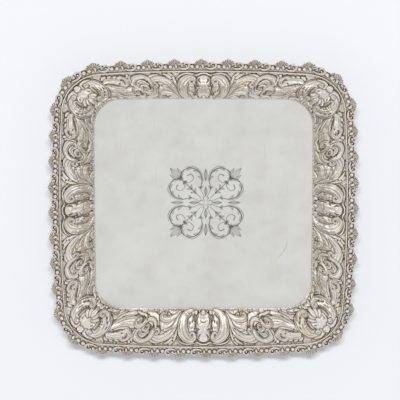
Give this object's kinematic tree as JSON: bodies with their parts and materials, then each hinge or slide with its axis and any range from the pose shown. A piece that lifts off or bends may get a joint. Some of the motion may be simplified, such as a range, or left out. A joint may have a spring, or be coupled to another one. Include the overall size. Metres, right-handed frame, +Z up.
{
  "type": "salver",
  "caption": "Square silver salver with a flat engraved panel, a deep chased rim, a cast shell and bead border and small scroll feet.",
  "frame": {"origin": "on the table under the middle of the salver, level with the soles of its feet", "axes": "+Z up, +Y towards the side that is at the top when the engraving reads upright, +X to the right of it"},
  "size_m": [0.28, 0.28, 0.0355],
  "materials": {
    "sheet_silver": "satin sheet silver, chased and engraved, with brown-grey tarnish in the hollows",
    "cast_silver": "cast silver, burnished on the high parts, with dark tarnish in the recesses"
  },
  "bodies": {
    "root": {"salver_sheet": "sheet_silver", "border_casting_right_to_back": "cast_silver", "border_casting_back_to_left": "cast_silver", "border_casting_left_to_front": "cast_silver", "border_casting_front_to_right": "cast_silver", "foot_back_right": "cast_silver", "foot_back_left": "cast_silver", "foot_front_left": "cast_silver", "foot_front_right": "cast_silver"}
  },
  "joints": []
}
